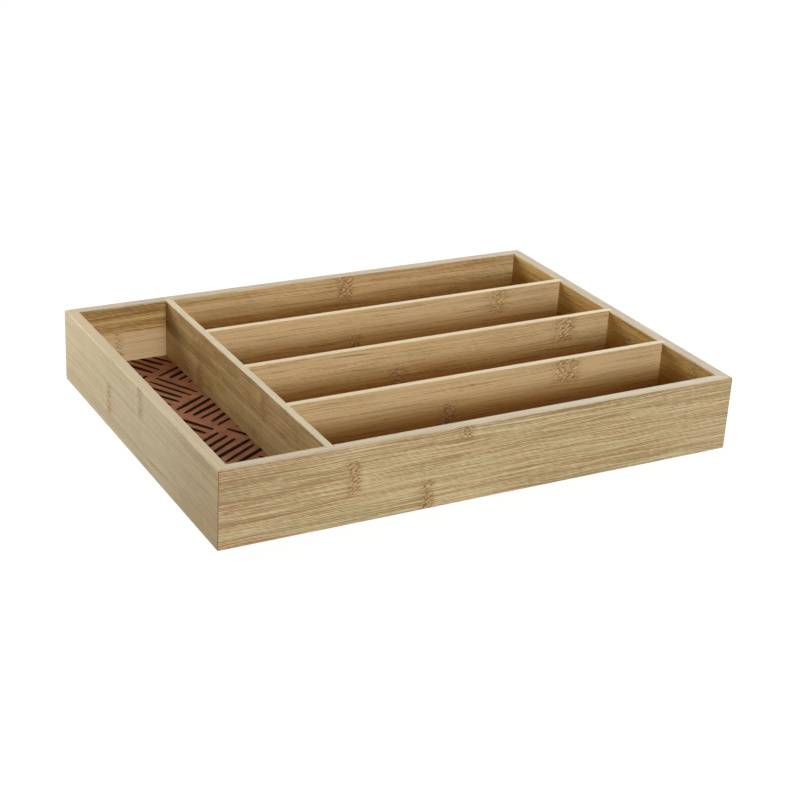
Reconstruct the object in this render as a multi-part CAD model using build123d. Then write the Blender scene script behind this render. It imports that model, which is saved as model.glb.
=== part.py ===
from build123d import *
import os

# Bamboo cutlery tray: a mitred frame round a grooved-in base board with a
# printed sheet on it. One cross divider closes off a compartment at the left,
# and three long dividers part the rest into four. All ends sit in housings.
# Millimetres, +Z up. The origin is at the middle of the underside, +X runs
# along the long walls and -Y is the front.

# Overall sizes, outside the walls
tray_length = 358.0
tray_depth = 264.0
tray_height = 50.0

# Boards
wall_thickness = 8.0
divider_thickness = 5.0
base_thickness = 4.0
liner_thickness = 0.5

# Layout: the clear width of the compartment at the left, and the names of the
# dividers that part the rest, from the front to the back
cross_bay_width = 61.5
long_divider_names = ("front_divider", "middle_divider", "rear_divider")

# Base board: how high its underside stands off the table, how deep its groove
# is, and the play it has past its edges and above the printed sheet
base_lift = 5.0
base_groove_depth = 4.0
base_edge_play = 0.3
base_groove_play = 0.1

# Housings: how deep a divider's end goes into a wall or into the cross
# divider, and the glue line round it
wall_housing_depth = 3.0
divider_housing_depth = 1.5
glue_line = 0.05

# Eased edges
rim_radius = 1.0
corner_radius = 0.8
foot_radius = 0.6
inner_rim_radius = 0.5
divider_rim_radius = 0.6

# How far a cutting solid runs past what it cuts
overrun = 6.0

# Planes that more than one piece shares
outer_x = tray_length / 2
outer_y = tray_depth / 2
inner_x = outer_x - wall_thickness
inner_y = outer_y - wall_thickness
base_top = base_lift + base_thickness
floor_top = base_top + liner_thickness
groove_top = floor_top + base_groove_play
cross_left = cross_bay_width - inner_x
cross_right = cross_left + divider_thickness
long_bays = len(long_divider_names) + 1
long_bay_width = (2 * inner_y - len(long_divider_names) * divider_thickness) / long_bays


def block(x_span, y_span, z_span):
    """A box between two planes along each axis."""
    lows, highs = zip(x_span, y_span, z_span)
    size = [high - low for low, high in zip(lows, highs)]
    return Pos(*lows) * Box(*size, align=(Align.MIN, Align.MIN, Align.MIN))


def long_divider_span(place):
    """The front and back faces of one long divider, counted from the front."""
    front = -inner_y + (place + 1) * long_bay_width + place * divider_thickness
    return front, front + divider_thickness


def widened(span, margin):
    """A span with a margin added at both ends."""
    return span[0] - margin, span[1] + margin


def frame_ring():
    """The four walls as one eased ring, with the base groove run round inside."""
    body = block((-outer_x, outer_x), (-outer_y, outer_y), (0, tray_height))
    body = fillet(body.edges().filter_by(Axis.Z), corner_radius)
    body = fillet(body.edges().group_by(Axis.Z)[-1], rim_radius)
    body = fillet(body.edges().group_by(Axis.Z)[0], foot_radius)
    ring = body - block((-inner_x, inner_x), (-inner_y, inner_y), (-overrun, tray_height + overrun))
    top_edges = ring.edges().group_by(Axis.Z)[-1]
    inner_edges = top_edges.filter_by(lambda edge: abs(edge.center().X) <= inner_x
                                      and abs(edge.center().Y) <= inner_y)
    ring = fillet(inner_edges, inner_rim_radius)
    groove = block(
        (-inner_x - base_groove_depth, inner_x + base_groove_depth),
        (-inner_y - base_groove_depth, inner_y + base_groove_depth),
        (base_lift, groove_top),
    )
    return ring - groove


def mitre_wedge(half_length, half_depth):
    """The space in front of both 45 degree mitre planes, at the -Y side."""
    outside = overrun
    inside = -wall_thickness - overrun
    outline = Polyline(
        (-half_length - outside, -half_depth - outside),
        (half_length + outside, -half_depth - outside),
        (half_length + inside, -half_depth - inside),
        (-half_length - inside, -half_depth - inside),
        close=True,
    )
    return extrude(Plane.XY * make_face(outline), tray_height)


def housing(x_span, y_span):
    """The slot that takes a divider's end, open at the top edge."""
    return block(x_span, y_span, (floor_top, tray_height + overrun))


def cross_housings():
    """The two slots for the cross divider, in the front and the back wall."""
    x_span = widened((cross_left, cross_right), glue_line)
    depth = inner_y + wall_housing_depth
    return housing(x_span, (-depth, -inner_y + overrun)) + housing(x_span, (inner_y - overrun, depth))


def long_housings(x_span):
    """One slot for each long divider, over the given stretch of X."""
    slots = [housing(x_span, widened(long_divider_span(place), glue_line))
             for place in range(len(long_divider_names))]
    return Part() + slots


def walls():
    """The four mitred walls, each with the slots that it carries."""
    ring = frame_ring()
    long_wedge = mitre_wedge(outer_x, outer_y)
    short_wedge = mitre_wedge(outer_y, outer_x)
    right_slots = long_housings((inner_x - overrun, inner_x + wall_housing_depth))
    return {
        "front_wall": (ring & long_wedge) - cross_housings(),
        "back_wall": (ring & Rot(Z=180) * long_wedge) - cross_housings(),
        "left_wall": ring & Rot(Z=-90) * short_wedge,
        "right_wall": (ring & Rot(Z=90) * short_wedge) - right_slots,
    }


def eased_divider(x_span, y_span, run_axis):
    """A divider board that stands on the floor, with its two top edges eased."""
    board = block(x_span, y_span, (floor_top, tray_height))
    top_edges = board.edges().group_by(Axis.Z)[-1].filter_by(run_axis)
    return fillet(top_edges, divider_rim_radius)


def cross_divider():
    """The board between the two long walls, slotted for the long dividers."""
    reach = inner_y + wall_housing_depth - glue_line
    board = eased_divider((cross_left, cross_right), (-reach, reach), Axis.Y)
    return board - long_housings((cross_right - divider_housing_depth, cross_right + overrun))


def long_divider(place):
    """A board from the cross divider to the right wall."""
    left_end = cross_right - divider_housing_depth + glue_line
    right_end = inner_x + wall_housing_depth - glue_line
    return eased_divider((left_end, right_end), long_divider_span(place), Axis.X)


def floor_sheet(bottom, thickness):
    """A sheet that fills the base groove, less its play at the edges."""
    reach = base_groove_depth - base_edge_play
    return block(
        (-inner_x - reach, inner_x + reach),
        (-inner_y - reach, inner_y + reach),
        (bottom, bottom + thickness),
    )


pieces = walls()
pieces["cross_divider"] = cross_divider()
for place, name in enumerate(long_divider_names):
    pieces[name] = long_divider(place)
pieces["base_board"] = floor_sheet(base_lift, base_thickness)
pieces["printed_liner"] = floor_sheet(base_top, liner_thickness)

os.makedirs("parts", exist_ok=True)
for name, piece in pieces.items():
    export_step(piece, f"parts/{name}.step")
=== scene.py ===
import math

import bpy
from mathutils import Matrix, Vector


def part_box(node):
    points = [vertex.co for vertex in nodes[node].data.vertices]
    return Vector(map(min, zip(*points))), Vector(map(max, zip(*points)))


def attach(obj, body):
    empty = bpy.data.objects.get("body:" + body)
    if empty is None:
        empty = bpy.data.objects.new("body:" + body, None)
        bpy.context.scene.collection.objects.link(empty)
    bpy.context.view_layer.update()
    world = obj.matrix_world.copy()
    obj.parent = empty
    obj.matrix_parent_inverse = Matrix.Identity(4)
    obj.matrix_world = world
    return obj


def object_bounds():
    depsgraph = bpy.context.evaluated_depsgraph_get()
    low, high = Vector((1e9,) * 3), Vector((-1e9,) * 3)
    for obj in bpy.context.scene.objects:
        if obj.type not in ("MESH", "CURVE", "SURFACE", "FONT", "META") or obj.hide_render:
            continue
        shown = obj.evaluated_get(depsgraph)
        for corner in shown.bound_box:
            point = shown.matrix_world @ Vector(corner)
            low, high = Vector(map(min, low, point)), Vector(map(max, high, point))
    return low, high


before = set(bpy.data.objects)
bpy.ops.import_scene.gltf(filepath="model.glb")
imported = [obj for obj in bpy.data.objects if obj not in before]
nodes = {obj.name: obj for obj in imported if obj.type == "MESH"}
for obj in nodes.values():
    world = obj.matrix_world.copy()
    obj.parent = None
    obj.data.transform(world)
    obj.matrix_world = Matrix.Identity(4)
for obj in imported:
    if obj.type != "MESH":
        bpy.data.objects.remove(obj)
cad_low, cad_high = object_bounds()
MM = 0.001


# The studio: a long lens in front of the tray and to its left, and soft lights
# low in front, overhead, behind and at both rear corners. The camera sees a white
# table, and a grey card just under it sends the light back up to the tray.
CAMERA_PLACE = (-0.52795, -0.94681, 0.49191)
CAMERA_AIM = (-0.01072, -0.03411, 0.025)
CAMERA_ROLL = math.radians(3.1934)
CAMERA_LENS = 80.093
SHEET_SIZE = 12.0
SHEET_ROUGHNESS = 0.8
TABLE_DROP, TABLE_SHADE, TABLE_GLOW = 0.05 * MM, 0.05, 0.96
CARD_DROP, CARD_SHADE, CARD_GLOW = 1.0 * MM, 0.40, 0.0
SKY_STRENGTH = 0.0
LIGHTS = {  # place, width and power
    "rear_softbox": ((0.0, 1.1, 1.3), 1.2, 9.4),
    "overhead_softbox": ((0.9, 0.3, 1.4), 0.9, 10.5),
    "front_softbox": ((-0.15, -1.9, 0.55), 0.5, 17.0),
    "front_fill": ((-0.15, -1.8, 0.85), 0.5, 6.2),
    "left_rear_fill": ((-0.6, 0.8, 0.35), 0.5, 5.4),
    "left_rear_glow": ((-0.7, 0.42, 0.20), 0.3, 1.0),
    "rear_sheen": ((0.9, 1.5, 0.8), 0.7, 1.3),
    "right_rear_softbox": ((1.3, 1.0, 0.9), 0.9, 9.4),
}


def straight_at(place, aim):
    """The turn of a camera or light at one point that looks at another."""
    return (Vector(aim) - Vector(place)).to_track_quat("-Z", "Y").to_matrix()


camera = bpy.data.objects.new("camera", bpy.data.cameras.new("camera"))
bpy.context.scene.collection.objects.link(camera)
bpy.context.scene.camera = camera
camera.data.lens = CAMERA_LENS
turn = straight_at(CAMERA_PLACE, CAMERA_AIM) @ Matrix.Rotation(CAMERA_ROLL, 3, "Z")
camera.matrix_world = Matrix.Translation(CAMERA_PLACE) @ turn.to_4x4()

for name, (place, width, power) in LIGHTS.items():
    light = bpy.data.objects.new(name, bpy.data.lights.new(name, "AREA"))
    bpy.context.scene.collection.objects.link(light)
    light.data.shape = "DISK"
    light.data.size = width
    light.data.energy = power
    light.matrix_world = Matrix.Translation(place) @ straight_at(place, (0, 0, 0)).to_4x4()

sky = bpy.data.worlds.new("sky")
bpy.context.scene.world = sky
sky.use_nodes = True
sky.node_tree.nodes["Background"].inputs["Strength"].default_value = SKY_STRENGTH
bpy.context.scene.view_settings.view_transform = "Standard"


def sheet_of_light(name, drop, shade, glow):
    """A large flat sheet just under the tray that is lit and may give light of its own."""
    half = SHEET_SIZE / 2
    corners = [(x, y, -drop) for x, y in ((-half, -half), (half, -half), (half, half), (-half, half))]
    mesh = bpy.data.meshes.new(name)
    mesh.from_pydata(corners, [], [range(len(corners))])
    sheet = bpy.data.objects.new(name, mesh)
    bpy.context.scene.collection.objects.link(sheet)
    paint = bpy.data.materials.new(name + "_paint")
    paint.use_nodes = True
    shader = paint.node_tree.nodes["Principled BSDF"]
    shader.inputs["Base Color"].default_value = (shade, shade, shade, 1)
    shader.inputs["Roughness"].default_value = SHEET_ROUGHNESS
    shader.inputs["Emission Color"].default_value = (1, 1, 1, 1)
    shader.inputs["Emission Strength"].default_value = glow
    mesh.materials.append(paint)
    return sheet


table = sheet_of_light("table", TABLE_DROP, TABLE_SHADE, TABLE_GLOW)
table.visible_diffuse = False
table.visible_shadow = False
card = sheet_of_light("bounce_card", CARD_DROP, CARD_SHADE, CARD_GLOW)
card.visible_camera = False
card.visible_glossy = False


# The four walls: 8 mm boards pressed from flat strips of bamboo about 20 mm
# wide, planed and lightly lacquered. They are mitred and glued at the corners.
class Reading:
    """A number that changes over a surface: a socket that takes part in Python sums."""

    def __init__(self, work, socket):
        self.work = work
        self.socket = socket

    def __add__(self, other):
        return self.work.maths("ADD", self, other)

    def __sub__(self, other):
        return self.work.maths("SUBTRACT", self, other)

    def __rsub__(self, other):
        return self.work.maths("SUBTRACT", other, self)

    def __mul__(self, other):
        return self.work.maths("MULTIPLY", self, other)

    def __truediv__(self, other):
        return self.work.maths("DIVIDE", self, other)

    def __pow__(self, other):
        return self.work.maths("POWER", self, other)

    def __gt__(self, other):
        return self.work.maths("GREATER_THAN", self, other)

    def __abs__(self):
        return self.work.maths("ABSOLUTE", self)

    __radd__ = __add__
    __rmul__ = __mul__


class NodeWork:
    """A node tree in the making, with one call for each kind of node that it needs."""

    def __init__(self, tree):
        self.tree = tree

    def node(self, kind, settings=(), inputs=(), output=0):
        """Adds a node, makes its settings and fills its sockets."""
        made = self.tree.nodes.new(kind)
        for name, value in dict(settings).items():
            if name == "stops":
                self.set_stops(made.color_ramp, value)
            else:
                setattr(made, name, value)
        for name, value in dict(inputs).items():
            self.feed(made.inputs[name], value)
        return Reading(self, made.outputs[output])

    def set_stops(self, ramp, stops):
        while len(ramp.elements) < len(stops):
            ramp.elements.new(1)
        for element, (position, colour) in zip(ramp.elements, stops):
            element.position = position
            element.color = colour

    def feed(self, socket, value):
        if isinstance(value, Reading):
            self.tree.links.new(value.socket, socket)
        else:
            socket.default_value = value

    def maths(self, operation, *terms):
        return self.node("ShaderNodeMath", {"operation": operation}, enumerate(terms))

    def sine(self, turns):
        """A wave that repeats each whole turn."""
        return self.maths("SINE", turns * math.tau)

    def fade(self, value, start, end):
        """A smooth step from 0 at start to 1 at end."""
        return self.node("ShaderNodeMapRange", {"interpolation_type": "SMOOTHSTEP"},
                         {"Value": value, "From Min": start, "From Max": end})

    def vector(self, x, y, z):
        return self.node("ShaderNodeCombineXYZ", (), {0: x, 1: y, 2: z})

    def parts(self, vector):
        """The X, Y and Z of a vector."""
        return [self.node("ShaderNodeSeparateXYZ", (), {0: vector}, axis) for axis in "XYZ"]

    def noise(self, x, y, z, detail=2, roughness=0.5):
        """Cloudy noise about 0.5, whose lumps are one step across each way."""
        return self.node("ShaderNodeTexNoise", (), {
            "Vector": self.vector(x, y, z), "Scale": 1.0, "Detail": detail, "Roughness": roughness})


class Finish(NodeWork):
    """A material in the making."""

    def __init__(self, name, **constants):
        self.material = bpy.data.materials.new(name)
        self.material.use_nodes = True
        super().__init__(self.material.node_tree)
        self.shader = self.tree.nodes["Principled BSDF"]
        for socket, value in constants.items():
            self.shader.inputs[socket.replace("_", " ")].default_value = value

    def place(self):
        """The surface point's X, Y and Z in millimetres."""
        return [reading / MM for reading in self.parts(self.node("ShaderNodeTexCoord", output="Object"))]

    def mix(self, share, first, second, blend="MIX"):
        return self.node("ShaderNodeMix", {"data_type": "RGBA", "blend_type": blend},
                         {0: share, 6: first, 7: second}, 2)

    def tint(self, share, colour, factors):
        """Multiplies a colour by factors, as far as share says."""
        return self.mix(share, colour, factors, "MULTIPLY")

    def ramp(self, value, stops):
        return self.node("ShaderNodeValToRGB", {"stops": stops}, {"Fac": value}, "Color")

    def finished(self, colour, roughness, height, depth):
        """Feeds the shader and returns the material."""
        bump = self.node("ShaderNodeBump", (), {"Height": height, "Distance": depth}, "Normal")
        self.feed(self.shader.inputs["Base Color"], colour)
        self.feed(self.shader.inputs["Roughness"], roughness)
        self.feed(self.shader.inputs["Normal"], bump)
        return self.material


PALE_FIBRE = (0.700, 0.525, 0.285, 1)
STRAW = (0.600, 0.428, 0.210, 1)
BROWN_FIBRE = (0.420, 0.262, 0.105, 1)
DARK_FIBRE = (0.310, 0.178, 0.060, 1)
FIBRE_STOPS = ((0.0, PALE_FIBRE), (0.36, STRAW), (0.71, BROWN_FIBRE), (1.0, DARK_FIBRE))
ROSY_STRAW = (0.500, 0.325, 0.170, 1)
KNUCKLE_GOLD = (0.430, 0.250, 0.085, 1)
KNUCKLE_BROWN = (0.250, 0.128, 0.032, 1)
PITH = (0.780, 0.610, 0.350, 1)
GLUE_BROWN = (0.10, 0.060, 0.030, 1)
# Colours of the tops: partly the paler planed wood, partly a painted sheen from the lights behind the tray
WALL_TOP_AND_SHEEN = (0.520, 0.415, 0.258, 1)
RIGHT_TOP_AND_SHEEN = (0.420, 0.370, 0.285, 1)
FRONT_TOP_AND_SHEEN = (0.610, 0.530, 0.380, 1)
BACK_TOP_AND_SHEEN = (0.445, 0.410, 0.345, 1)
SILVER_TINT = (1.03, 1.30, 1.55, 1)
# An amber tint, used both for a board's own lean to amber and for painted reflected light near the floor,
# then a painted shade near the floor
AMBER_AND_BOUNCE_TINT = (0.92, 0.77, 0.36, 1)
PAINTED_SHADE_TINT = (0.86, 0.70, 0.62, 1)
BLUSH_TINT = (1.12, 0.94, 0.90, 1)
SAGE_TINT = (0.91, 1.05, 1.02, 1)
# Painted shade on the outer eased edges of the rim and a painted highlight on the inner ones
OUTER_EDGE_PAINTED_SHADE = (0.88, 0.88, 0.88, 1)
INNER_EDGE_PAINTED_HIGHLIGHT = (1.25, 1.22, 1.12, 1)

# Each kind of fibre mark: its length and width in mm, and how much brown it brings
SAW_RUN, SAW_WIDTH, SAW_BROWN = 6.0, 0.48, 1.5
HAIR_RUN, HAIR_WIDTH, HAIR_BROWN = 65.0, 0.55, 2.5
DASH_RUN, DASH_WIDTH, DASH_BROWN = 80.0, 0.80, 0.30
FIBRE_RUN, FIBRE_WIDTH, FIBRE_BROWN = 110.0, 1.2, 1.3
STREAK_RUN, STREAK_WIDTH, STREAK_BROWN = 300.0, 2.6, 1.7
CLOUD_RUN, CLOUD_WIDTH, CLOUD_BROWN = 150.0, 10.0, 0.5
BLOTCH_RUN, BLOTCH_WIDTH, BLOTCH_BROWN = 26.0, 9.0, 1.8
ROSY_RUN, ROSY_WIDTH = 160.0, 2.2
BLUSH_RUN, BLUSH_WIDTH = 70.0, 6.0
WAVE_RUN, WAVE_WIDTH, WAVE_HEIGHT = 70.0, 9.0, 5.0
MARK_ROUGHNESS = 0.6
SAW_SLANT = 0.45
STRIP_SHIFT, SEED_SHIFT = 61.3, 17.7
FINE_LESS, BROWN_LESS = 0.05, 0.08
BROWN_LOWEST, BROWN_SPAN = 0.5, 1.4
DASH_FADE = (0.50, 0.66)
ROSY_FADE, ROSY_SHARE = (0.54, 0.70), 0.6
SILVER_FADE, SILVER_SHARE = (0.46, 0.32), 0.16
BLUSH_FADE, SAGE_FADE = (0.50, 0.62), (0.50, 0.38)

# Joints between strips, parts of a face, and knuckles, in mm or in shares of a knuckle's reach
JOINT_FADE, JOINT_SHARE = (0.30, 0.05), 0.30
STRIP_OUT, STRIP_IN = 0.2, 0.3
AREA_BLEND, AREA_DEEP, AREA_NEAR = 0.2, 3, 1
BEND_UP, BEND_THROUGH, BEND_ALONG, BEND_REACH = 0.22, 0.12, 0.37, 8.0
BEND_DETAIL, BEND_ROUGHNESS = 4, 0.75
RISE_SHARE, FALL_SHARE, CORE_SHARE = 1.7, 1.5, 0.4
PALE_PAST_SHARE, PALE_PAST = 2, 0.8
HALO_REACH, HALO_BROWN, HALO_GOLD, KNUCKLE_SHARE = 13.0, 0.12, 0.12, 0.22
SPECK_RUN, SPECK_WIDTH, SPECK_WEIGHT = 1.7, 0.95, 0.8
LATTICE_RUN, LATTICE_RISE, LATTICE_WEIGHT = 4.8, 3.6, 0.06
SWAY_STEP, SWAY_ALONG, SWAY_UP, SWAY_DETAIL = 0.4, 6.5, 3.5, 3
NET_FADE = (0.10, 0.80)
MARK_FADE, MARK_SHARE = (0.0, 0.09), 0.80
PIT_FADE, PIT_SHARE = (-0.03, -0.11), 0.65

# The rim, the mitres and the feet of the compartments, in mm from the face or top named
TOP_SKIN, TOP_BLEND, TOP_SHARE = 0.14, 0.06, 0.70
RIM_INNER, RIM_OUTER, RIM_LOSS = 4.5, 1, 0.5
EDGE_HIGH, EDGE_LOW = 0.6, 1.2
EASED_LOW, EASED_HIGH = 0.9, 0.5
OUTWARD_FROM, OUTWARD_TO = 2, 1.5
GLUE_HALF_WIDTH, GLUE_BLEND, GLUE_SHARE, GLUE_TOP_LOSS = 0.30, 0.15, 0.70, 0.60
INSIDE_FAR, INSIDE_NEAR, CROSS_BLEND = 0.6, 0.2, 0.5
# Painted reflected light and painted shade towards the foot of the long compartments
PAINTED_BOUNCE_FADE, PAINTED_BOUNCE_WARMTH = (40.0, 21.0), 0.78
PAINTED_SHADE_FADE = (28.0, 19.0)

COAT, COAT_ROUGHNESS = 0.10, 0.50
WOOD_ROUGHNESS, FIBRE_ROUGHER, KNUCKLE_ROUGHER = 0.55, 0.25, 0.15
FIBRE_RELIEF, DASH_RELIEF, KNUCKLE_RELIEF, JOINT_RELIEF = 0.5, 0.3, 0.8, 0.3
WOOD_RELIEF = 0.04 * MM
INNER_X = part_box("right_wall")[0].x / MM
CROSS_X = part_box("cross_divider")[0].x / MM
INNER_Y = -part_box("front_wall")[1].y / MM
OUTER_X, OUTER_Y = cad_high.x / MM, cad_high.y / MM
RIM = round(cad_high.z / MM, 1)
LEFT_END = round(cad_low.x / MM, 1)


def read_strips(finish, along, through, z, seed, strips):
    """Which strip a point is in, the strip's tone, the joints, the knuckles, and the halo: browner
    on the way to a knuckle and paler just past it."""
    strip = 0
    tone = strips[0][1]
    joint = 0
    knuckle = 0
    halo = 0
    bottom = 0
    for place, (top, _, knuckles) in enumerate(strips):
        if place + 1 < len(strips):
            above = z > top
            strip = strip + above
            tone = tone + above * (strips[place + 1][1] - strips[place][1])
            joint = joint + finish.fade(abs(z - top), *JOINT_FADE)
        for spot, reach, strength in knuckles:
            bend = finish.noise(z * BEND_UP, through * BEND_THROUGH, spot * BEND_ALONG + seed,
                                BEND_DETAIL, BEND_ROUGHNESS) - 0.5
            past = along - spot + bend * BEND_REACH
            within = finish.fade(z, bottom - STRIP_OUT, bottom + STRIP_IN)
            within = within * finish.fade(z, top + STRIP_OUT, top - STRIP_IN)
            rise = finish.fade(past, -reach * RISE_SHARE, 0) * strength
            fall = finish.fade(past, reach * FALL_SHARE, reach * CORE_SHARE)
            knuckle = knuckle + rise * fall * within
            halo = halo + finish.fade(past, -HALO_REACH, 0) * fall * within * strength
            halo = halo - finish.fade(abs(past - reach * PALE_PAST_SHARE), reach, 0) * within * PALE_PAST
        bottom = top
    return strip, tone, joint, knuckle, halo


def knuckle_net(finish, along, through, z, shift):
    """The net where the bundles of fibre cross over: above 0 on its brown specks and below 0 on
    the pale pith between them."""
    sway = finish.noise(along * SWAY_STEP, z * SWAY_STEP, through * SWAY_STEP + shift, SWAY_DETAIL) - 0.5
    net_along = along + sway * SWAY_ALONG
    net_up = z + sway * SWAY_UP
    specks = finish.noise(net_along / SPECK_RUN, net_up / SPECK_WIDTH, through / SPECK_WIDTH, 1)
    lattice = finish.sine(net_along / LATTICE_RUN) * finish.sine(net_up / LATTICE_RISE)
    return (specks - 0.5) * SPECK_WEIGHT + lattice * LATTICE_WEIGHT


def bamboo(board, grain, seed, strips, areas=(), fine=1.0, broad=1.0, grit=1.0, knots=1.0, pith=1.0,
           silver=0.0, warm=0.0, hue=0.22, blotchy=0.2, top_colour_and_sheen=WALL_TOP_AND_SHEEN, mitred=False):
    """A board's finish, in mm. grain is the axis that the fibres follow, 0 for X and 1 for Y.
    strips is one (top edge height, tone, knuckles) for each strip from the bottom, where a knuckle
    is its place along the grain, its reach to each side and its strength. areas are parts of the
    board's front or left face that have another tone, some of them painted shade and painted
    light: (bottom, top, where it starts along the grain, where it is full, tone, warmth). fine,
    broad, grit, knots and pith are the strength of
    the fibres, of the bands, of the saw's fine slanting marks, of the knuckles and of the pale pith
    in them. silver and warm are how far the board leans to grey and to amber, hue how far its
    colour drifts between rosy and sage, and blotchy how far it clouds over."""
    finish = Finish(board + "_bamboo", Coat_Weight=COAT, Coat_Roughness=COAT_ROUGHNESS)
    x, y, z = finish.place()
    along, through = (x, y) if grain == 0 else (y, x)
    strip, tone, joint, knuckle, halo = read_strips(finish, along, through, z, seed, strips)
    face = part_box(board)[0][1 - grain] / MM
    near_face = finish.fade(through, face + AREA_DEEP, face + AREA_NEAR)
    for low, high, start, full, extra_tone, extra_warmth in areas:
        here = finish.fade(z, low - AREA_BLEND, low + AREA_BLEND)
        here = here * finish.fade(z, high + AREA_BLEND, high - AREA_BLEND)
        here = here * finish.fade(along, start, full) * near_face
        tone = tone + here * extra_tone
        warm = warm + here * extra_warmth

    # Fibres run along the board with a slow wave, and break at each strip
    shift = strip * STRIP_SHIFT + seed * SEED_SHIFT
    wave = finish.noise(along / WAVE_RUN, z / WAVE_WIDTH, shift) - 0.5
    height = z + wave * WAVE_HEIGHT
    slant = z + along * SAW_SLANT
    saw_marks = finish.noise(
        (along - z * SAW_SLANT) / SAW_RUN, slant / SAW_WIDTH + shift, through / SAW_WIDTH, 1)
    hairs = finish.noise(
        along / HAIR_RUN, height / HAIR_WIDTH, through / HAIR_WIDTH + shift, 1, MARK_ROUGHNESS)
    dashes = finish.noise(
        along / DASH_RUN, height / DASH_WIDTH, through / DASH_WIDTH + shift, 2, MARK_ROUGHNESS)
    fibres = finish.noise(
        along / FIBRE_RUN, height / FIBRE_WIDTH + shift, through / FIBRE_WIDTH, 2, MARK_ROUGHNESS)
    streaks = finish.noise(along / STREAK_RUN, height / STREAK_WIDTH + shift,
                           through / STREAK_WIDTH + shift, 3, MARK_ROUGHNESS)
    clouds = finish.noise(along / CLOUD_RUN + shift, z / CLOUD_WIDTH, through / CLOUD_WIDTH, 1)
    rosy = finish.noise(
        along / ROSY_RUN + shift, height / ROSY_WIDTH, through / ROSY_WIDTH, 2, MARK_ROUGHNESS)
    blush = finish.noise(
        along / BLUSH_RUN + shift, height / BLUSH_WIDTH, through / BLUSH_WIDTH + shift, 2, MARK_ROUGHNESS)
    blotches = finish.noise(
        along / BLOTCH_RUN, z / BLOTCH_WIDTH + shift, through / BLOTCH_WIDTH, 2, MARK_ROUGHNESS)

    # How brown the wood is, and its colour
    fine_marks = finish.fade(dashes, *DASH_FADE) * DASH_BROWN + (hairs - 0.5) * HAIR_BROWN - FINE_LESS
    bands = (fibres - 0.5) * FIBRE_BROWN + (streaks - 0.5) * STREAK_BROWN + (clouds - 0.5) * CLOUD_BROWN
    brown = fine_marks * fine + bands * broad
    brown = brown + (saw_marks - 0.5) * SAW_BROWN * grit + tone - BROWN_LESS + halo * HALO_BROWN * knots
    brown = brown + (blotches - 0.5) * BLOTCH_BROWN * blotchy
    colour = finish.ramp((brown + BROWN_LOWEST) / BROWN_SPAN, FIBRE_STOPS)
    colour = finish.mix(finish.fade(rosy, *ROSY_FADE) * ROSY_SHARE * broad, colour, ROSY_STRAW)
    colour = finish.tint(finish.fade(rosy, *SILVER_FADE) * SILVER_SHARE * broad, colour, SILVER_TINT)
    colour = finish.tint(silver, colour, SILVER_TINT)
    colour = finish.tint(finish.fade(blush, *BLUSH_FADE) * hue, colour, BLUSH_TINT)
    colour = finish.tint(finish.fade(blush, *SAGE_FADE) * hue, colour, SAGE_TINT)

    # Inside the long compartments a board is painted warmer and darker towards its foot: painted reflected
    # light from the red print and painted shade near the floor
    inside = finish.fade(x, CROSS_X, CROSS_X + CROSS_BLEND)
    inside = inside * finish.fade(x, INNER_X + INSIDE_FAR, INNER_X + INSIDE_NEAR)
    inside = inside * finish.fade(abs(y), INNER_Y + INSIDE_FAR, INNER_Y + INSIDE_NEAR)
    painted_bounce = finish.fade(z, *PAINTED_BOUNCE_FADE) * inside * PAINTED_BOUNCE_WARMTH
    skin = cad_high.z / MM - TOP_SKIN
    below_edge = finish.fade(z, skin - EDGE_HIGH, skin - EDGE_LOW)
    colour = finish.tint((painted_bounce + warm) * below_edge, colour, AMBER_AND_BOUNCE_TINT)
    colour = finish.tint(finish.fade(z, *PAINTED_SHADE_FADE) * inside, colour, PAINTED_SHADE_TINT)

    # Knuckles and joints
    net = knuckle_net(finish, along, through, z, shift)
    in_knuckle = finish.fade(knuckle, *NET_FADE) * knots
    marks = in_knuckle * finish.fade(net, *MARK_FADE)
    pits = in_knuckle * finish.fade(net, *PIT_FADE) * pith
    colour = finish.mix((knuckle * KNUCKLE_SHARE + halo * HALO_GOLD) * knots, colour, KNUCKLE_GOLD)
    colour = finish.mix(marks * MARK_SHARE, colour, KNUCKLE_BROWN)
    colour = finish.mix(pits * PIT_SHARE, colour, PITH)
    colour = finish.mix(joint * JOINT_SHARE, colour, BROWN_FIBRE)

    # The top: partly the paler planed wood, partly a painted sheen from the lights behind the tray, less of
    # both towards the outside of the tray
    flat_top = finish.fade(z, skin - TOP_BLEND, skin + TOP_BLEND)
    outer = finish.fade(abs(x), OUTER_X - RIM_INNER, OUTER_X - RIM_OUTER)
    outer = outer + finish.fade(abs(y), OUTER_Y - RIM_INNER, OUTER_Y - RIM_OUTER)
    colour = finish.mix(flat_top * TOP_SHARE * (1 - outer * RIM_LOSS), colour, top_colour_and_sheen)
    if mitred:
        outward = finish.fade(abs(x), OUTER_X - OUTWARD_FROM, OUTER_X - OUTWARD_TO)
        outward = outward + finish.fade(abs(y), OUTER_Y - OUTWARD_FROM, OUTER_Y - OUTWARD_TO)
        eased = finish.fade(z, skin - EASED_LOW, skin - EASED_HIGH) * (1 - flat_top)
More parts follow.
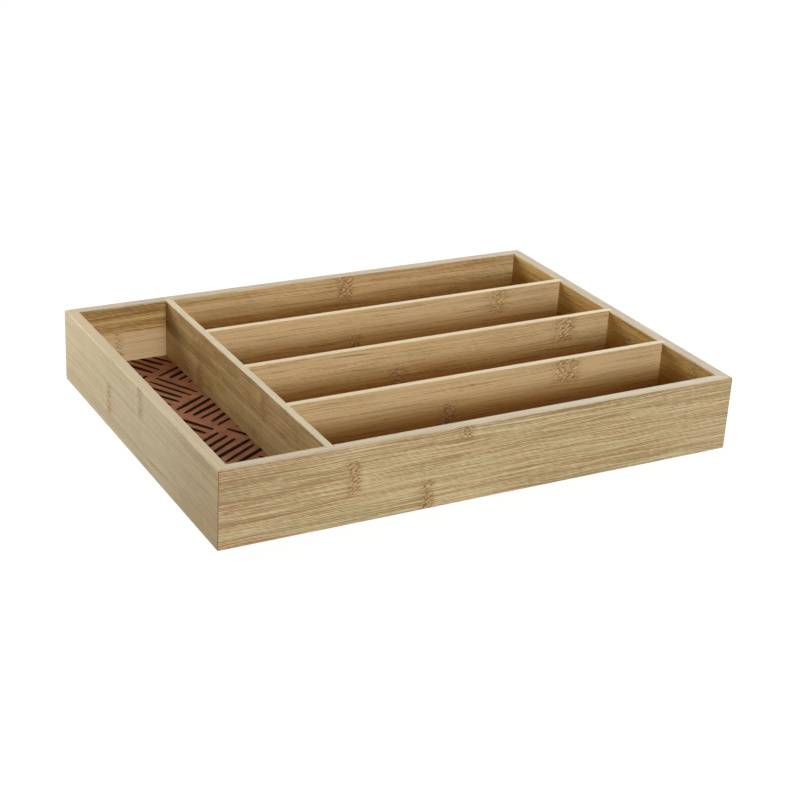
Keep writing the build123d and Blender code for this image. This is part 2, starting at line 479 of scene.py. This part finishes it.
        # Painted shade on the outer eased edges and a painted highlight on the inner ones
        colour = finish.tint(eased * finish.fade(outward, 0, 1), colour, OUTER_EDGE_PAINTED_SHADE)
        colour = finish.tint(eased * finish.fade(outward, 1, 0), colour, INNER_EDGE_PAINTED_HIGHLIGHT)
        off_mitre = abs(abs(x) - abs(y) - (OUTER_X - OUTER_Y))
        seam = finish.fade(off_mitre, GLUE_HALF_WIDTH + GLUE_BLEND, GLUE_HALF_WIDTH - GLUE_BLEND)
        colour = finish.mix(seam * (GLUE_SHARE - flat_top * GLUE_TOP_LOSS), colour, GLUE_BROWN)
    roughness = WOOD_ROUGHNESS + (fibres - 0.5) * FIBRE_ROUGHER + marks * KNUCKLE_ROUGHER
    relief = fibres * FIBRE_RELIEF - marks * KNUCKLE_RELIEF - joint * JOINT_RELIEF + dashes * DASH_RELIEF
    return finish.finished(colour, roughness, relief, WOOD_RELIEF)


WALLS = {
    "front_wall": {
        "grain": 0, "seed": 1, "fine": 1.45, "broad": 0.64, "grit": 1.3, "knots": 1.25, "pith": 0.35,
        "silver": 0.19, "hue": 0.28, "blotchy": 0.1, "top_colour_and_sheen": FRONT_TOP_AND_SHEEN,
        "strips": ((19.3, 0.24, ((-44.5, 4.3, 1.0),)), (41.0, 0.33, ((-94.0, 4.2, 1.0),)),
                   (RIM, 0.46, ((-20.5, 4.8, 0.9),))),
        # The first area darkens the front face towards its left end: painted shade at the front-left corner
        "areas": ((0, RIM, -70.0, LEFT_END, 0.26, 0.0), (41.0, RIM, -95.0, -70.0, 0.10, 0.0),
                  (41.0, RIM, -20.0, 5.0, -0.10, 0.0))},
    "back_wall": {
        "grain": 0, "seed": 2, "fine": 1.3, "grit": 1.2, "warm": 0.14, "hue": 0.28,
        "top_colour_and_sheen": BACK_TOP_AND_SHEEN,
        "strips": ((9.0, 0.0, ()), (30.4, -0.06, ((-144.0, 3.2, 0.6), (120.5, 6.0, 0.5))),
                   (RIM, -0.04, ((27.5, 6.5, 0.9),))),
        # In the cross bay the upper strip is painted darker and warmer, as painted shade, and the lower strip
        # paler, as painted light
        "areas": ((30.4, RIM, -106.0, -108.0, 0.42, 0.42), (0, 30.4, -106.0, -108.0, -0.64, -0.12))},
    "left_wall": {
        "grain": 1, "seed": 3, "fine": 0.40, "broad": 0.45, "grit": 0.5, "knots": 0.75, "pith": 0.2,
        "silver": 0.28, "blotchy": 0.28,
        "strips": ((10.0, 0.10, ()), (31.0, 0.02, ((46.0, 4.0, 1.0),)), (RIM, 0.0, ((-10.0, 4.0, 1.0),))),
        # Both areas darken and warm the left face towards its front end: painted shade at the front-left
        # corner
        "areas": ((0, RIM, -32.0, -110.0, 0.24, 0.30), (0, 24.0, -60.0, -120.0, 0.02, 0.14))},
    "right_wall": {
        "grain": 1, "seed": 4, "warm": 0.92, "hue": 0.4, "blotchy": 0.5, "top_colour_and_sheen": RIGHT_TOP_AND_SHEEN,
        "strips": ((20.0, 0.0, ((60.0, 5.0, 0.8),)), (39.5, 0.02, ((-30.0, 5.0, 0.8),)),
                   (RIM, 0.08, ((-103.0, 5.0, 0.9),)))},
}
for name, look in WALLS.items():
    nodes[name].material_slots[0].material = bamboo(name, mitred=True, **look)


# The cross divider: a 5 mm bamboo board of the same stock, set in a housing in
# the front wall and another in the back wall, and slotted for the long dividers.
# Its top's colour is partly the paler planed wood, partly a painted sheen from the lights behind the tray
CROSS_TOP_AND_SHEEN = (0.660, 0.590, 0.405, 1)
CROSS_LOOK = {
    "grain": 1, "seed": 5, "fine": 0.60, "broad": 0.35, "grit": 0.8, "knots": 0.8, "pith": 0.3,
    "silver": 0.33, "warm": 0.40, "hue": 0.35, "blotchy": 0.75, "top_colour_and_sheen": CROSS_TOP_AND_SHEEN,
    "strips": ((29.0, 0.06, ((62.0, 5.0, 1.0),)), (RIM, 0.50, ((-40.0, 5.0, 1.0),))),
    "areas": ((0, RIM, -20.0, -62.0, -0.24, -0.10), (0, RIM, 20.0, 44.0, 0.20, 0.0),
              (0, RIM, 56.0, 84.0, -0.16, 0.0), (0, 29.0, 66.0, 104.0, -0.34, 0.0))}
nodes["cross_divider"].material_slots[0].material = bamboo("cross_divider", **CROSS_LOOK)


# The three long dividers: 5 mm bamboo boards glued into housings in the cross
# divider and the right wall, flush with the rim.
# Their tops' colour is partly the paler planed wood, partly a painted sheen from the lights behind the tray
DIVIDER_TOP_AND_SHEEN = (0.735, 0.605, 0.390, 1)
DIVIDER_LOOK = {"grain": 0, "fine": 1.40, "broad": 0.30, "grit": 1.2, "hue": 0.20, "blotchy": 0.12,
                "top_colour_and_sheen": DIVIDER_TOP_AND_SHEEN}
# The strips get paler towards the rim: partly their own tone, partly painted light from above
LONG_DIVIDERS = {  # seed and strips
    "front_divider": (6, ((12.0, -0.1, ()), (33.0, -0.22, ((6.0, 6.5, 0.7),)),
                          (RIM, -0.31, ((94.5, 11.0, 0.8),)))),
    "middle_divider": (7, ((12.0, -0.1, ()), (32.5, -0.15, ((3.5, 6.5, 0.7),)),
                           (RIM, -0.17, ((133.5, 9.0, 0.8),)))),
    "rear_divider": (8, ((12.0, -0.1, ()), (32.0, -0.31, ((4.5, 6.0, 0.7),)),
                         (RIM, -0.38, ((118.0, 10.0, 0.6),)))),
}
for name, (seed, strips) in LONG_DIVIDERS.items():
    nodes[name].material_slots[0].material = bamboo(name, seed=seed, strips=strips, **DIVIDER_LOOK)


# The base board: a 4 mm fibreboard panel, bare underneath, held in a groove
# that runs round the inside of the four walls.
BOARD_PALE = (0.36, 0.225, 0.125, 1)
BOARD_DARK = (0.20, 0.115, 0.06, 1)
BOARD_STOPS = ((0.30, BOARD_PALE), (0.75, BOARD_DARK))
FELT_SIZE, FELT_DETAIL, FELT_ROUGHNESS = 1.6, 5, 0.7
FLECK_WIDTH, FLECK_LENGTH, FLECK_DETAIL = 0.8, 2.4, 3
FLECK_FADE, FLECK_SHARE = (0.60, 0.72), 0.3
BOARD_ROUGHNESS, FELT_ROUGHER = 0.75, 0.15
BOARD_RELIEF = 0.05 * MM


def fibreboard():
    """Pressed wood fibre: fine felted flecks with darker specks."""
    finish = Finish("bare_fibreboard")
    x, y, z = finish.place()
    felt = finish.noise(x / FELT_SIZE, y / FELT_SIZE, z / FELT_SIZE, FELT_DETAIL, FELT_ROUGHNESS)
    flecks = finish.noise(x / FLECK_WIDTH, y / FLECK_LENGTH, z / FLECK_WIDTH, FLECK_DETAIL)
    flecks = finish.fade(flecks, *FLECK_FADE)
    colour = finish.ramp(felt + flecks * FLECK_SHARE, BOARD_STOPS)
    return finish.finished(colour, BOARD_ROUGHNESS + felt * FELT_ROUGHER, felt, BOARD_RELIEF)


nodes["base_board"].material_slots[0].material = fibreboard()


# The printed liner: a sheet of matt terracotta paper glued over the whole base
# board. It is printed with short strokes of near-black ink, laid like a basket
# weave: cells of parallel strokes, each at right angles to its neighbours.
PAPER_RED = (0.285, 0.105, 0.046, 1)
PAPER_PALE = (0.455, 0.182, 0.080, 1)
PAPER_STOPS = ((0.35, PAPER_RED), (0.70, PAPER_PALE))
MOTTLE_SIZE, MOTTLE_DETAIL, MOTTLE_ROUGHNESS, MOTTLE_SHARE = 9.0, 4, 0.65, 0.8
TOOTH_SIZE, TOOTH_SHARE = 0.5, 0.2
PAPER_GLOSS, PAPER_ROUGHNESS, TOOTH_ROUGHER = 0.25, 0.65, 0.1
PAPER_RELIEF = 0.03 * MM
INK_BLACK = (0.014, 0.004, 0.0005, 1)
INK_WORN = (0.036, 0.012, 0.003, 1)
INK_STOPS = ((0.50, INK_BLACK), (0.80, INK_WORN))
WEAR_SIZE, WEAR_DETAIL, WEAR_ROUGHNESS = 1.4, 4, 0.7
INK_GLOSS, INK_ROUGHNESS, WEAR_ROUGHER = 0.05, 0.75, 0.15
INK_RELIEF = 0.01 * MM
CELL_SIZE = 42.0 * MM
STROKES_A_CELL = 6
STROKE_LENGTH, STROKE_WIDTH = 40.0 * MM, 3.0 * MM
STROKE_STEPS = 8
TAPER, TAPER_POWER = 0.30, 5
INK_DEPTH, INK_STANDS = 0.10 * MM, 0.03 * MM
WEAVE_TURN = math.radians(31)
STROKE_SWING = 0.05
LENGTH_SHARES, WIDTH_SHARES = (0.72, 1.0), (0.75, 1.10)
WAVER_STEP, WAVER_REACH, WAVER_SHIFT = 3.5 * MM, 0.9 * MM, 7.3
STROKE_SEED = 4


def terracotta():
    """Printed paper: an uneven red-brown ground with a fine paper tooth."""
    finish = Finish("terracotta_print", Specular_IOR_Level=PAPER_GLOSS)
    x, y, z = finish.place()
    mottle = finish.noise(x / MOTTLE_SIZE, y / MOTTLE_SIZE, z, MOTTLE_DETAIL, MOTTLE_ROUGHNESS)
    tooth = finish.noise(x / TOOTH_SIZE, y / TOOTH_SIZE, z)
    colour = finish.ramp(mottle * MOTTLE_SHARE + tooth * TOOTH_SHARE, PAPER_STOPS)
    return finish.finished(colour, PAPER_ROUGHNESS + tooth * TOOTH_ROUGHER, tooth, PAPER_RELIEF)


def ink():
    """Near-black ink, worn a little paler in places."""
    finish = Finish("stroke_ink", Specular_IOR_Level=INK_GLOSS)
    x, y, z = finish.place()
    wear = finish.noise(x / WEAR_SIZE, y / WEAR_SIZE, z, WEAR_DETAIL, WEAR_ROUGHNESS)
    colour = finish.ramp(wear, INK_STOPS)
    return finish.finished(colour, INK_ROUGHNESS + wear * WEAR_ROUGHER, wear, INK_RELIEF)


class Pattern(NodeWork):
    """A Geometry Nodes tree in the making, with a named input for each of its sizes."""

    def __init__(self, name, sizes):
        super().__init__(bpy.data.node_groups.new(name, "GeometryNodeTree"))
        self.tree.interface.new_socket("Geometry", in_out="OUTPUT", socket_type="NodeSocketGeometry")
        self.values = {}
        for label, value in sizes.items():
            kind = "NodeSocketInt" if isinstance(value, int) else "NodeSocketFloat"
            socket = self.tree.interface.new_socket(label, in_out="INPUT", socket_type=kind)
            self.values[socket.identifier] = value
        entry = self.tree.nodes.new("NodeGroupInput")
        self.size = {label: Reading(self, entry.outputs[label]) for label in sizes}

    def turned(self, angle):
        """A turn about Z."""
        return self.node("FunctionNodeEulerToRotation", (), {0: self.vector(0, 0, angle)})

    def random(self, low, high, seed):
        return self.node("FunctionNodeRandomValue", {"data_type": "FLOAT"},
                         {2: low, 3: high, "Seed": seed}, 1)

    def spot(self):
        """The X, Y and Z of each point."""
        return self.parts(self.node("GeometryNodeInputPosition"))

    def moved(self, shape, x, y, z):
        return self.node("GeometryNodeSetPosition", (), {"Geometry": shape, "Position": self.vector(x, y, z)})

    def copies(self, points, shape, turn, scale=(1, 1, 1)):
        """One copy of the shape at each point, as real mesh."""
        placed = self.node("GeometryNodeInstanceOnPoints", (), {
            "Points": points, "Instance": shape, "Rotation": self.turned(turn), "Scale": scale})
        return self.node("GeometryNodeRealizeInstances", (), {0: placed})

    def made(self, name, shape, material):
        """Runs the tree and returns its plain mesh as an object."""
        shape = self.node("GeometryNodeSetMaterial", (), {"Geometry": shape, "Material": material})
        self.feed(self.tree.nodes.new("NodeGroupOutput").inputs[0], shape)
        piece = bpy.data.objects.new(name, bpy.data.meshes.new(name))
        bpy.context.scene.collection.objects.link(piece)
        modifier = piece.modifiers.new("pattern", "NODES")
        modifier.node_group = self.tree
        for key, value in self.values.items():
            modifier[key] = value
        seen = piece.evaluated_get(bpy.context.evaluated_depsgraph_get())
        mesh = bpy.data.meshes.new_from_object(seen)
        piece.modifiers.clear()
        piece.data = mesh
        return piece


def basket_weave(paper_corner):
    """The strokes over the whole sheet, as a thin film of ink with wavering edges."""
    half_x, half_y = paper_corner.x, paper_corner.y
    cells = math.ceil(2 * math.hypot(half_x, half_y) / CELL_SIZE)
    weave = Pattern("basket_weave", {
        "Cell size": CELL_SIZE, "Strokes a cell": STROKES_A_CELL, "Stroke length": STROKE_LENGTH,
        "Stroke width": STROKE_WIDTH, "Ink depth": INK_DEPTH, "Weave turn": WEAVE_TURN, "Seed": STROKE_SEED})
    cell, seed, length = weave.size["Cell size"], weave.size["Seed"], weave.size["Stroke length"]

    # The cells: a square lattice, where each cell's strokes are turned by its place
    span = cell * (cells - 1)
    lattice = weave.node("GeometryNodeMeshGrid", (),
                         {"Size X": span, "Size Y": span, "Vertices X": cells, "Vertices Y": cells})
    x, y, _ = weave.spot()
    count = weave.maths("ROUND", (x + y) / cell + (cells - 1))
    turn = weave.maths("FLOORED_MODULO", count, 2) * (math.pi / 2)
    lattice = weave.node("GeometryNodeStoreNamedAttribute", {"data_type": "FLOAT"},
                         {"Geometry": lattice, "Name": "turn", "Value": turn})
    pitch = cell / weave.size["Strokes a cell"]
    start = weave.vector(0, cell * -0.5 + pitch * 0.5, 0)
    row = weave.node("GeometryNodeMeshLine", (), {
        "Count": weave.size["Strokes a cell"], "Start Location": start, "Offset": weave.vector(0, pitch, 0)})
    places = weave.copies(lattice, row, turn)
    places = weave.node("GeometryNodeTransform", (),
                        {"Geometry": places, "Rotation": weave.turned(weave.size["Weave turn"])})
    x, y, _ = weave.spot()
    outside = (abs(x) > half_x) + (abs(y) > half_y)
    places = weave.node("GeometryNodeDeleteGeometry", (), {"Geometry": places, "Selection": outside})

    # One stroke: a bar that narrows towards its ends
    bar_size = weave.vector(length, weave.size["Stroke width"], weave.size["Ink depth"])
    bar = weave.node("GeometryNodeMeshCube", (), {"Size": bar_size, "Vertices X": STROKE_STEPS})
    x, y, z = weave.spot()
    narrow = 1 - abs(x * 2 / length) ** TAPER_POWER * TAPER
    bar = weave.moved(bar, x, y * narrow, z)

    # Each stroke in its place, a little longer or wider than the next, then wavering
    turn = weave.node("GeometryNodeInputNamedAttribute", {"data_type": "FLOAT"}, {"Name": "turn"})
    turn = turn + weave.size["Weave turn"] + weave.random(-STROKE_SWING, STROKE_SWING, seed)
    scale = weave.vector(weave.random(*LENGTH_SHARES, seed + 1), weave.random(*WIDTH_SHARES, seed + 2), 1)
    strokes = weave.copies(places, bar, turn, scale)
    x, y, z = weave.spot()
    across = weave.noise(x / WAVER_STEP, y / WAVER_STEP, 0) - 0.5
    along = weave.noise(x / WAVER_STEP, y / WAVER_STEP, WAVER_SHIFT) - 0.5
    x = x + across * WAVER_REACH
    y = y + along * WAVER_REACH
    x = weave.maths("MAXIMUM", weave.maths("MINIMUM", x, half_x), -half_x)
    y = weave.maths("MAXIMUM", weave.maths("MINIMUM", y, half_y), -half_y)
    z = z + (paper_corner.z + INK_STANDS - INK_DEPTH / 2)
    strokes = weave.moved(strokes, x, y, z)
    strokes = weave.node("GeometryNodeRemoveAttribute", (), {"Geometry": strokes, "Name": "turn"})
    return weave.made("printed_strokes", strokes, ink())


nodes["printed_liner"].material_slots[0].material = terracotta()
strokes = basket_weave(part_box("printed_liner")[1])
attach(strokes, "root")
